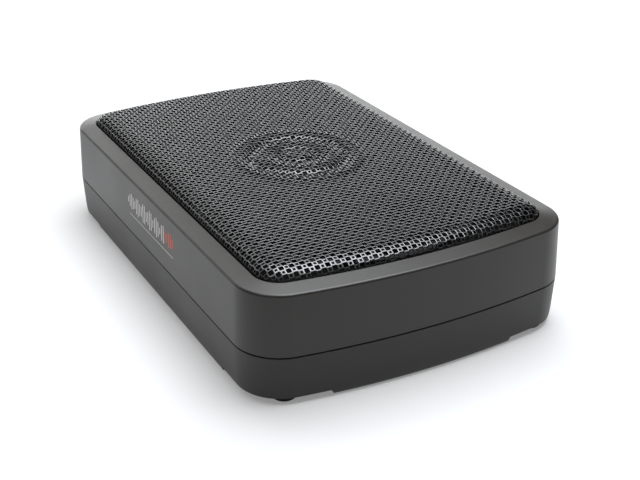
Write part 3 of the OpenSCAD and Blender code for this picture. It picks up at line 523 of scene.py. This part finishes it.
# looks of single surfaces: prints, and painted shade inside the grille's holes and in the recess
# behind it
PRINT = material("side_ink", rgb(214, 212, 208), rough=0.5, grain=0.5, grain_depth=0.01,
                 blotch=0.06, blotch_size=8)
ACCENT = material("side_accent_ink", rgb(206, 74, 44), rough=0.5, grain=0.5, grain_depth=0.01,
                  blotch=0.06, blotch_size=8)
# darker and duller than the grille's steel: painted shade on the holes' walls and the sheet's
# underside
HOLE_WALL_SHADE = material("hole_wall_painted_shade", rgb(20, 20, 20), rough=0.6, specular=0.15, grain=0.3,
                   grain_depth=0.01, blotch=0.2, blotch_size=10)
# near-black: painted shade in the recess behind the grille, so that the holes look dark
RECESS_SHADE = material("recess_painted_shade", rgb(9, 9, 9), rough=0.9, specular=0.1, grain=0.6,
                  grain_depth=0.05, blotch=0.3, blotch_size=10)

for node_name, node_object in frame["nodes"].items():
    for slot in node_object.material_slots:
        slot.material = MATS[SLOT_OF[node_name]]


def finish_piece(ob, slot_name, body="housing", stands_for=(), look=None):
    """Gives a piece the look of its slot, or the look given, hides the CAD nodes it stands for,
    and attaches it to the body it rides on. A piece given no body is left unattached."""
    ob.data.materials.clear()
    ob.data.materials.append(look or MATS[slot_name])
    if stands_for:
        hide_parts(*stands_for)
    if body:
        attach(ob, body)


# ---------------------------------------------------------------- upper housing

def upper_shell():
    """Side walls, rim, recess and baffle, with the bosses, the driver's hole and the window."""
    boss_top, flange_boss_r, flange_boss_h = 72.3, 3.2, 5.0
    opening_r, case_pilot_r, flange_pilot_r = 85.3, 1.8, 1.55
    wall = [(*UPPER_WALL[0], 0.45), UPPER_WALL[1], (*UPPER_WALL[2], 1.8)]
    shell = outline_ring("upper_shell", rounded(wall + [
        (RIM_IN, Z_RIM + 0.05, 0.7), (RIM_IN, Z_UNDER), (RIM_BACK, Z_UNDER),
        (RIM_BACK, Z_RIM - 2.4), (4.2, Z_RIM - 4.1), (SEAM_WALL, Z_UP)]))
    baffle_edge = level((RIM_IN + RIM_BACK) / 2, 0)[:, :2].tolist()
    combine(shell, [prism(baffle_edge, Z_UNDER, Z_BAFFLE)], "UNION")
    combine(shell, [rod(x, y, CASE_BOSS_R, Z_UP, boss_top, 32) for x, y in CASE_SCREWS], "UNION")
    combine(shell, [rod(x, y, flange_boss_r, Z_UNDER - flange_boss_h, Z_UNDER + 0.5, 24)
                    for x, y in FLANGE_SCREWS], "UNION")
    combine(shell, [rod(0, DRIVER_Y, opening_r, Z_UNDER - 3, Z_BAFFLE + 2, 128)], "DIFFERENCE")
    combine(shell, [rod(x, y, case_pilot_r, 30.0, 50.3, 24) for x, y in CASE_SCREWS]
            + [rod(x, y, flange_pilot_r, Z_UNDER - 4, Z_BAFFLE + 1, 24) for x, y in FLANGE_SCREWS]
            + [box_part(*WINDOW)], "DIFFERENCE")
    shade(shell, 32)
    even_normals(shell)
    finish_piece(shell, "upper_shell", stands_for=["top_housing"])
    return shell


# ---------------------------------------------------------------- lower housing

def foot_pocket(sx, sy):
    """Cutter for the corner pocket of a foot, with a draft on its two inner walls."""
    rings = []
    for z, draft in ((-1.0, 0.7), (Z_LAND, 0.7), (Z_POCKET, 0.0)):
        x0, y0, far_x, far_y, r = 64.0 - draft, 115.0 - draft, 140.0, 200.0, 6.0
        points = [(far_x, y0), (far_x, far_y), (x0, far_y)]
        points += [(x0 + r * (1 - math.cos(a)), y0 + r * (1 - math.sin(a)))
                   for a in np.linspace(0, math.pi / 2, 9)]
        points = [(sx * x, sy * y) for x, y in points]
        if sx * sy < 0:
            points.reverse()
        rings.append(np.array([(x, y, z) for x, y in points]))
    return capped(rings)


def groove(y, half_x, half_w):
    """Cutter for a groove with round ends and a chamfered mouth in the underside."""
    chamfer = 0.7
    rings = []
    for z, grow in ((-1.0, chamfer), (Z_LAND, chamfer), (Z_LAND + chamfer, 0.0), (Z_POCKET, 0.0)):
        w = half_w + grow
        points = []
        for s in (1, -1):
            for k in range(9):
                a = math.pi * (k / 8 - 0.5)
                points.append((s * (half_x - half_w + w * math.cos(a)), y + s * w * math.sin(a), z))
        rings.append(np.array(points))
    return capped(rings)


def screw_hole(x, y):
    """Cutter for a case screw: a chamfered mouth, a wide bore for the head and a narrow one."""
    head_r, shank_r, seat, top = 4.1, 2.0, Z_LAND + 4.2, 40.0
    mouth_r = head_r + 0.4
    return lathe([(0, -1), (mouth_r, -1), (mouth_r, Z_LAND), (head_r, Z_LAND + 0.4),
                  (head_r, seat), (shank_r, seat), (shank_r, top), (0, top)], x, y, 40)


def lower_shell():
    """Dish with a turned-in foot, feet pockets, grooves, screw holes and bosses."""
    insert_boss_r, board_boss_r = 5.5, 3.4
    insert_bore_r, board_pilot_r = 3.95, 1.3
    outside_wall = [(3.7, Z_LAND), (3.35, 1.1), (3.0, 1.45), (2.6, 2.1), (2.25, 3.0), (1.9, 4.3),
                    (1.65, 5.8), (1.4, 7.8), (1.2, 10.0)]
    lip = [(0.05, Z_LOW - 0.7), (0.12, Z_LOW - 0.35), (0.25, Z_LOW - 0.12), (0.5, Z_LOW)]
    inside_wall = [(SEAM_WALL, Z_LOW), (3.9, 9.7), (4.1, 8.5), (4.6, 7.6), (5.4, Z_FLOOR)]
    shell = outline_dish("lower_shell", outside_wall + lip + inside_wall)
    combine(shell, [rod(x, y, CASE_BOSS_R, Z_FLOOR - 1, Z_LOW, 32) for x, y in CASE_SCREWS]
            + [rod(x, y, insert_boss_r, Z_FLOOR - 1, 13.2, 32) for x, y in INSERTS]
            + [rod(x, y, board_boss_r, Z_FLOOR - 1, 14.0, 32) for x, y in BOARD_SCREWS], "UNION")
    combine(shell, [foot_pocket(sx, sy) for sx in (-1, 1) for sy in (-1, 1)], "DIFFERENCE")
    combine(shell, [groove(9.0 * i, 86.0, 2.5) for i in range(-11, 12)]
            + [screw_hole(x, y) for x, y in CASE_SCREWS], "DIFFERENCE")
    combine(shell, [rod(x, y, insert_bore_r, Z_POCKET - 1, 12.6, 40) for x, y in INSERTS]
            + [rod(x, y, board_pilot_r, 8.0, 15.0, 24) for x, y in BOARD_SCREWS]
            + [box_part(*WINDOW)], "DIFFERENCE")
    shade(shell, 32)
    even_normals(shell)
    finish_piece(shell, "lower_shell", stands_for=["bottom_housing"])


def seam_strip():
    """Seal between the two housings, set back a little from their outer faces."""
    inset = 1.0
    strip = outline_ring("seam_strip", [
        (inset, Z_LOW), (inset - 0.15, (Z_LOW + Z_UP) / 2), (inset, Z_UP), (SEAM_WALL, Z_UP),
        (SEAM_WALL, Z_LOW)])
    combine(strip, [box_part(*WINDOW)], "DIFFERENCE")
    shade(strip, 32)
    finish_piece(strip, "black_rubber", stands_for=["seam_gasket"])


upper = upper_shell()
lower_shell()
seam_strip()

# ---------------------------------------------------------------- grille

PITCH, SMALL, STRUT, SHEET = 3.34, 1.33, 0.42, 1.0    # of the pattern, its squares, bars and steel
WAIST = 0.06                                          # the holes' edges lie this far below the bars
EDGE_IN = HALF_W - grille_hi[0]
RUN, RISE = 12.6, 5.9                                 # of the edge's curve, inwards and up
ROUND_R = CORNER_R - EDGE_IN - RUN
CROWN, CROWN_RUN = 0.12, 55.0                         # slight rise of the flat middle
RINGS = ((44.0, 6.5, 0.68), (33.5, 4.5, -1.3), (24.0, 6.0, 0.68), (12.0, 6.5, -1.3))
TOP_Z = grille_hi[2] - CROWN - RINGS[0][2]
FOOT_Z = TOP_Z - RISE
turn = np.linspace(0, math.pi / 2, 400)
arc = np.concatenate([[0], np.cumsum(np.hypot(np.diff(RUN * np.sin(turn)),
                                              np.diff(RISE * np.cos(turn))))])
ARC_END = arc[-1] + 1.2                               # the pattern runs on down past the curve


def emboss(p):
    """Plain concentric rings pressed up in the middle, each (radius, half width, height)."""
    r = np.hypot(p[:, 0], p[:, 1])
    out = np.zeros(len(r))
    for radius, half, height in RINGS:
        k = np.clip(np.abs(r - radius) / half, 0, 1)
        out += height * np.cos(math.pi / 2 * k) ** 2
    return out


def outside(p):
    """Signed distance outside the line where the sheet starts to curve down, and its normal."""
    ax, ay = np.abs(p[:, 0]), np.abs(p[:, 1])
    dx, dy = ax - CORE_X, ay - (CORE_Y - BOW)
    d_side = ax - (CORE_X + ROUND_R)
    bow = np.hypot(ax, ay - BOW_CY)
    d_bow = bow - (BOW_R + ROUND_R)
    d = np.maximum(d_side, d_bow)
    nx = np.where(d_side > d_bow, 1.0, ax / bow)
    ny = np.where(d_side > d_bow, 0.0, (ay - BOW_CY) / bow)
    h = np.hypot(dx, dy)
    phi = np.arctan2(dx, dy)
    at_corner = (dx > 0) & (dy > 0) & (phi > BOW_HALF)
    d = np.where(at_corner, h - ROUND_R, d)
    nx = np.where(at_corner, dx / np.maximum(h, 1e-9), nx)
    ny = np.where(at_corner, dy / np.maximum(h, 1e-9), ny)
    n = np.column_stack([nx * np.sign(p[:, 0] + 1e-12), ny * np.sign(p[:, 1] + 1e-12)])
    return d, n


def on_dome(p, sink):
    """Flat pattern points laid on the domed sheet, sink mm below its outer face."""
    d, n = outside(p)
    s = np.clip(d, 0, ARC_END)
    t = np.interp(s, arc, turn)
    past = d > 0
    run = RUN * np.sin(t)
    slope = np.column_stack([RISE * np.sin(t), RUN * np.cos(t)])
    slope /= np.linalg.norm(slope, axis=1)[:, None]
    xy = np.where(past[:, None], p - n * d[:, None] + n * run[:, None], p)
    z = TOP_Z - RISE * (1 - np.cos(t)) - np.maximum(s - arc[-1], 0)
    inward = np.clip(-d / CROWN_RUN, 0, 1)
    z += CROWN * inward * inward * (3 - 2 * inward)
    z += emboss(p)
    up = np.where(past, slope[:, 1], 1.0)
    outward = np.where(past, slope[:, 0], 0.0)
    return np.column_stack([xy - n * (outward * sink)[:, None], z - up * sink])


def pattern():
    """Tiles of the flat sheet with their holes, octagons and squares by turns, as outlines."""
    def octagon(a, b):
        return np.array([(a, -b), (a, b), (b, a), (-b, a), (-a, b), (-a, -b), (-b, -a), (b, -a)])

    def square(b):
        return np.array([(b, -b), (b, b), (-b, b), (-b, -b)])

    large = PITCH - SMALL
    shapes = ((octagon(large, SMALL), octagon(large - STRUT, SMALL - STRUT * (math.sqrt(2) - 1))),
              (square(SMALL), square(SMALL - STRUT)))
    each_way_x, each_way_y = (int(reach / PITCH) + 2 for reach in (105, 165))
    tiles = []
    for i in range(-each_way_x, each_way_x + 1):
        for j in range(-each_way_y, each_way_y + 1):
            tile, hole = shapes[(i + j) % 2]
            middle = np.array([i, j]) * PITCH
            tiles.append((tile + middle, hole + middle))
    distance = outside(np.array([tile.mean(0) for tile, _ in tiles]))[0]
    return [pair for pair, d in zip(tiles, distance) if d <= ARC_END - 0.1]


def perforated_sheet():
    """Points, outer faces, and hole and underside faces of the sheet. The points are the tiles'
    shared corners on the outer face, then each hole's rim, then the rim again on the underside."""
    shared, ridge, holes, tiles = {}, [], [], []
    for tile, hole in pattern():
        corners = []
        for x, y in tile:
            key = (round(x * 50), round(y * 50))
            if key not in shared:
                shared[key] = len(ridge)
                ridge.append((x, y))
            corners.append(shared[key])
        tiles.append((corners, len(holes)))
        holes += list(hole)
    ridge, holes = np.array(ridge), np.array(holes)
    verts = np.vstack([on_dome(ridge, 0.0), on_dome(holes, WAIST), on_dome(holes, SHEET)])

    rim, under = len(ridge), len(ridge) + len(holes)
    faces, walls, edge_of, fan = [], [], {}, {}
    for corners, first in tiles:
        n = len(corners)
        for k in range(n):
            m = (k + 1) % n
            here, there = first + k, first + m
            faces.append((corners[k], corners[m], rim + there, rim + here))
            walls.append((rim + here, rim + there, under + there, under + here))
            edge_of[(corners[k], corners[m])] = (under + here, under + there)
            fan.setdefault(corners[k], []).append((under + here, corners[m]))
    return verts, faces, walls + bars_below(edge_of) + knots_below(edge_of, fan, ridge, holes, under)


def bars_below(edge_of):
    """Underside of each bar between two tiles, or the sheet's own edge where there is one tile."""
    walls = []
    for (p, q), (below_p, below_q) in edge_of.items():
        other = edge_of.get((q, p))
        if not other:
            walls.append((q, p, below_p, below_q))
        elif p < q:
            walls.append((below_p, below_q, other[0], other[1]))
    return walls


def knots_below(edge_of, fan, ridge, holes, under):
    """Underside where three bars meet, and the corners of the sheet's own edge."""
    walls = []
    for corner, tiles_at in fan.items():
        low = [below for below, _ in tiles_at]
        if len(low) == 3:
            away = [holes[below - under] - ridge[corner] for below in low]
            angle = [math.atan2(y, x) for x, y in away]
            walls.append(tuple(low[k] for k in np.argsort(angle)[::-1]))
        elif len(low) == 2:
            first = 0 if (tiles_at[0][1], corner) in edge_of else 1
            walls.append((corner, low[first], low[1 - first]))
    return walls


def grille_sheet():
    """The perforated sheet with the plain skirt that stands on the baffle."""
    sheet_verts, faces, walls = perforated_sheet()
    skirt_out, skirt_in = EDGE_IN + 0.02, EDGE_IN + 1.1
    skirt_top, skirt_foot = FOOT_Z - 0.9, Z_BAFFLE + 0.4
    rings = [level(skirt_in, skirt_top), level(skirt_in, skirt_foot),
             level(skirt_out, skirt_foot), level(skirt_out, skirt_top)]
    ob = mesh_object("grille_sheet", *merge([(sheet_verts, faces + walls),
                                             (np.vstack(rings), stack(rings, True))]), smooth=0)
    finish_piece(ob, "grille_steel", stands_for=["grille"])
    # the holes' walls and the sheet's underside take the darker colour: painted shade
    ob.data.materials.append(HOLE_WALL_SHADE)
    hole_shade_faces = np.zeros(len(ob.data.polygons), np.int32)
    hole_shade_faces[len(faces):len(faces) + len(walls)] = 1
    ob.data.polygons.foreach_set("material_index", hole_shade_faces)


def paint_recess_shade(shell):
    """Painted shade: matt near-black on the walls and floor of the recess behind the grille."""
    shell.data.materials.append(RECESS_SHADE)
    middles = np.array([p.center for p in shell.data.polygons]) / MM
    inset = EDGE_IN + RUN - outside(middles[:, :2])[0]
    z = middles[:, 2]
    shaded_faces = (inset > RIM_IN - 0.1) & (z < Z_RIM - 0.6) & (z > Z_UNDER + 0.5)
    shell.data.polygons.foreach_set("material_index", shaded_faces.astype(np.int32))


grille_sheet()
paint_recess_shade(upper)

# ---------------------------------------------------------------- soft parts of the driver

surround_lo, surround_hi = node_box("surround")
CONE_R = node_box("cone")[1][0]
BASKET_R = node_box("basket")[1][0] - 10.0
ROLL_MID = (CONE_R + BASKET_R) / 2
LIP_Z = node_box("front_gasket")[0][2]
FORMER_R = 19.0
PAD_R = 70.9


def carry(ob, inner_r, outer_r):
    """Bakes in the piece's placement; its weight from the cone at inner_r to the housing at outer_r
    is not used.
    """
    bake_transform(ob)
    co = np.array([v.co for v in ob.data.vertices]) / MM
    r = np.hypot(co[:, 0], co[:, 1] - DRIVER_Y)
    weight = 1 - np.clip((r - inner_r) / (outer_r - inner_r), 0, 1)
    weight = weight * weight * (3 - 2 * weight)


def turned_sheet(name, node, slot_name, profile, inner_r, outer_r, steps=96):
    """Turned sheet between the cone, at inner_r, and the basket, at outer_r, on no body."""
    ob = mesh_object(name, *lathe(profile, 0, DRIVER_Y, steps), smooth=50)
    finish_piece(ob, slot_name, body=None, stands_for=[node])
    carry(ob, inner_r, outer_r)


def surround_roll():
    """Half roll between the cone's edge and the basket's flange, with a flat lip on each."""
    def half_roll(half_width, height, base):
        return [(ROLL_MID + half_width * math.cos(t), base + height * math.sin(t))
                for t in np.linspace(0, math.pi, 25)]

    inner_edge, outer_edge = CONE_R - 3.9, surround_hi[0]
    under = surround_lo[2] + 0.02
    profile = ([(inner_edge, surround_lo[2]), (CONE_R - 0.1, under)]
               + half_roll(7.4, 7.2, LIP_Z - 0.2)[::-1]
               + [(outer_edge, under), (outer_edge, LIP_Z)]
               + half_roll(8.2, 8.0, LIP_Z)
               + [(inner_edge, LIP_Z - 0.05)])
    turned_sheet("surround_roll", "surround", "surround_rubber", profile,
                 ROLL_MID - 8.0, ROLL_MID + 8.0, 128)


def spider_ring():
    """Corrugated cloth between the former and the basket's ledge, five waves wide."""
    waves_from, waves_to, waves = FORMER_R + 0.06, 50.5, 5
    lie, wave_h, cloth, ledge_z, ledge_r, edge_r = 44.7, 1.2, 0.55, 44.42, 51.0, 56.0
    under = []
    for t in np.linspace(0, 1, 73):
        fade = min(1, 6 * t, 6 * (1 - t))
        under.append((waves_from + (waves_to - waves_from) * t,
                      lie + wave_h * math.sin(2 * waves * math.pi * t) * fade))
    profile = (under + [(ledge_r, ledge_z), (edge_r, ledge_z), (edge_r, 45.3)]
               + [(r, z + cloth) for r, z in under[::-1]])
    turned_sheet("spider_ring", "spider", "spider_cloth", profile, FORMER_R + 1, 50.0)


def tube(points, r, sides=12, per=8):
    """Round tube along a smooth route through the points."""
    pts = [np.array(p, float) for p in points]
    path = []
    for i in range(len(pts) - 1):
        a, b = pts[max(i - 1, 0)], pts[i]
        c, d = pts[i + 1], pts[min(i + 2, len(pts) - 1)]
        for s in range(per):
            t = s / per
            path.append(b + 0.5 * t * (c - a + t * (2 * a - 5 * b + 4 * c - d
                                                    + t * (3 * (b - c) + d - a))))
    path.append(pts[-1])
    rings = []
    for i, p in enumerate(path):
        run = path[min(i + 1, len(path) - 1)] - path[max(i - 1, 0)]
        run /= np.linalg.norm(run)
        u = np.cross(run, (1, 0, 0))
        u /= np.linalg.norm(u)
        w = np.cross(run, u)
        rings.append(np.array([p + r * (math.cos(a) * u + math.sin(a) * w)
                               for a in np.linspace(0, 2 * math.pi, sides, endpoint=False)]))
    return capped(rings)


def tinsel_braids():
    """Two braided leads from the terminal board's tags to the former."""
    parts = []
    for sx in (-1, 1):
        parts.append(tube([
            (sx * 7, DRIVER_Y + PAD_R + 3.3, 51.0), (sx * 12.5, DRIVER_Y + PAD_R + 3, 50.0),
            (sx * 14, DRIVER_Y + PAD_R - 8, 49.8), (sx * 11, DRIVER_Y + 50, 48.4),
            (sx * 7, DRIVER_Y + 36, 49.4), (sx * 4, DRIVER_Y + FORMER_R + 1, 49.4)], 0.7))
    leads = mesh_object("tinsel_braids", *merge(parts), smooth=60)
    finish_piece(leads, "tinsel", body=None, stands_for=["tinsel_leads"])
    carry(leads, FORMER_R + 4, 60.0)


surround_roll()
spider_ring()
tinsel_braids()

# ---------------------------------------------------------------- prints

INK_DEEP = 0.06


def inlay(outline, deep):
    """Thin closed piece: its front is the outline, and its back lies deep inside the wall."""
    front = [np.array(p, float) for p in outline]
    turned = sum(np.cross(front[i - 1], front[i]) for i in range(len(front)))
    if turned @ deep > 0:
        front.reverse()
    n = len(front)
    faces = [tuple(range(n)), tuple(range(2 * n - 1, n - 1, -1))]
    faces += [(i, n + i, n + (i + 1) % n, (i + 1) % n) for i in range(n)]
    return front + [p + deep for p in front], faces


def on_wall(outline):
    """Print on the long wall at -X, from its outline as (y, z), proud of it by a hair."""
    heights = [z for _, z in UPPER_WALL]
    insets = [inset for inset, _ in UPPER_WALL]
    front = [(-(HALF_W - float(np.interp(z, heights, insets))) - 0.012, y, z) for y, z in outline]
    return inlay(front, np.array((INK_DEEP, 0, 0)))


def bar(y, z, half_y, half_z):
    """Upright bar with round ends, as (y, z)."""
    points = []
    for s in (1, -1):
        for a in np.linspace(0, math.pi, 7):
            points.append((y + half_y * math.cos(a) * s,
                           z + s * (max(half_z - half_y, 0) + half_y * math.sin(a))))
    return points


def side_prints():
    """Generic level-meter ornament: a row of bars over a hairline, the last few in red."""
    bars, first_red, start_y, step, middle_z = 27, 22, 36.0, 3.1, 57.0
    white, red = [], []
    for i in range(bars):
        swell = 0.55 + 0.45 * math.cos((i - bars // 2) / 8.5)
        half_z = 2.2 + 5.2 * abs(math.sin(i * 0.83)) * swell
        part = on_wall(bar(start_y - step * i, middle_z, 0.6, half_z))
        (red if i >= first_red else white).append(part)
    white.append(on_wall([(34.0, 46.9), (-45.0, 46.9), (-45.0, 47.3), (34.0, 47.3)]))
    for name, parts, slot_name, ink in (("side_print", white, "white_plastic", PRINT),
                                        ("side_print_accent", red, "red_plastic", ACCENT)):
        finish_piece(mesh_object(name, *merge(parts), smooth=0), slot_name, look=ink)


def knob_place(knob):
    """A knob's centre x, back y, front y and centre z."""
    lo, hi = node_box(knob)
    return (lo[0] + hi[0]) / 2, lo[1], hi[1], (lo[2] + hi[2]) / 2


def pointers():
    """White inlay in each knob's pointer groove."""
    for knob in ("gain", "crossover", "bass"):
        x, _, front, z = knob_place(knob + "_knob")
        half, y0, y1 = 0.42, front - 0.48, front - 0.15
        outline = [(x - half, y0), (x + half, y0), (x + half, y1), (x - half, y1)]
        ob = mesh_object(knob + "_pointer", *prism(outline, z + 1.7, z + 5.5), smooth=0)
        finish_piece(ob, "white_plastic", knob + "_control", look=PRINT)


def panel_ticks():
    """Printed ticks round each knob, every 30 degrees, with longer ones at both ends and the top."""
    knob_gap, half, start_r, long_r, short_r = 1.5, 0.16, 8.0, 9.6, 9.0
    ticks = []
    for knob in ("gain_knob", "crossover_knob", "bass_knob"):
        x, back, _, z = knob_place(knob)
        y = back - knob_gap + 0.02
        for i in range(11):
            a = math.radians(-150 + 30 * i)
            c, s = math.sin(a), math.cos(a)
            end_r = long_r if i in (0, 5, 10) else short_r
            outline = [(x + r * c - w * s, y, z + r * s + w * c)
                       for r, w in ((start_r, half), (start_r, -half), (end_r, -half), (end_r, half))]
            ticks.append(inlay(outline, np.array((0, -INK_DEEP, 0))))
    finish_piece(mesh_object("panel_ticks", *merge(ticks), smooth=0), "white_plastic", look=PRINT)


side_prints()
pointers()
panel_ticks()


# ---------------------------------------------------------------- floor and light

def studio_floor(half=9000, thick=20, gap=0.02):
    """Pale floor just under the feet, which glows a little so that it stays plain and light."""
    outline = [(-half, -half), (half, -half), (half, half), (-half, half)]
    floor = mesh_object("studio_floor", *prism(outline, -thick, -gap), smooth=0)
    look = material("studio_floor_look", (0.5, 0.5, 0.5, 1), rough=0.8, specular=0.15, grain=2.0,
                    grain_depth=0.002, blotch=0.002, blotch_size=900, speckle=0.02)
    shader = look.node_tree.nodes["Principled BSDF"].inputs
    shader["Emission Color"].default_value = (1, 1, 1, 1)
    shader["Emission Strength"].default_value = 0.24
    floor.data.materials.append(look)


def lamp(name, where, aim, size, power, colour=(1, 1, 1)):
    """Rectangular area light at where, facing aim. Places and sizes are in metres."""
    data = bpy.data.lights.new(name, "AREA")
    data.shape = "RECTANGLE"
    data.size = size[0]
    data.size_y = size[1]
    data.energy = power
    data.color = colour
    ob = bpy.data.objects.new(name, data)
    bpy.context.collection.objects.link(ob)
    ob.location = where
    ob.rotation_mode = "QUATERNION"
    ob.rotation_quaternion = (Vector(aim) - Vector(where)).to_track_quat("-Z", "Y")


def studio_light():
    """Soft boxes above and behind, with weak ones at the sides, and a faint even world."""
    lamp("overhead_box", (0.3, 0.0, 1.3), (0.3, -0.01, 0), (0.9, 1.2), 30, (0.93, 0.965, 1.0))
    lamp("edge_box", (-0.7, -0.25, 1.2), (-0.1, -0.1, 0), (0.3, 0.6), 2.5)
    lamp("top_box", (0.1, 1.15, 1.7), (0, 0, 0), (1.8, 0.9), 13, (0.96, 0.98, 1.0))
    lamp("key_box", (0.1, -1.1, 1.3), (0.1, -0.2, 0), (1.6, 0.8), 1.5)
    lamp("back_panel", (0.7, 2.2, 0.36), (0, 0, 0.05), (3.2, 0.6), 20, (0.97, 0.985, 1.0))
    lamp("back_high", (0.1, 2.2, 1.15), (-0.05, 0, 0.05), (0.9, 0.7), 3)
    lamp("left_box", (-0.8, 1.0, 0.6), (-0.3, 0.5, 0), (0.6, 0.6), 2)
    world = bpy.data.worlds.new("studio")
    bpy.context.scene.world = world
    world.use_nodes = True
    background = world.node_tree.nodes["Background"].inputs
    background["Color"].default_value = (1, 1, 1, 1)
    background["Strength"].default_value = 0.12
    bpy.context.scene.view_settings.view_transform = "Standard"


studio_floor()
studio_light()
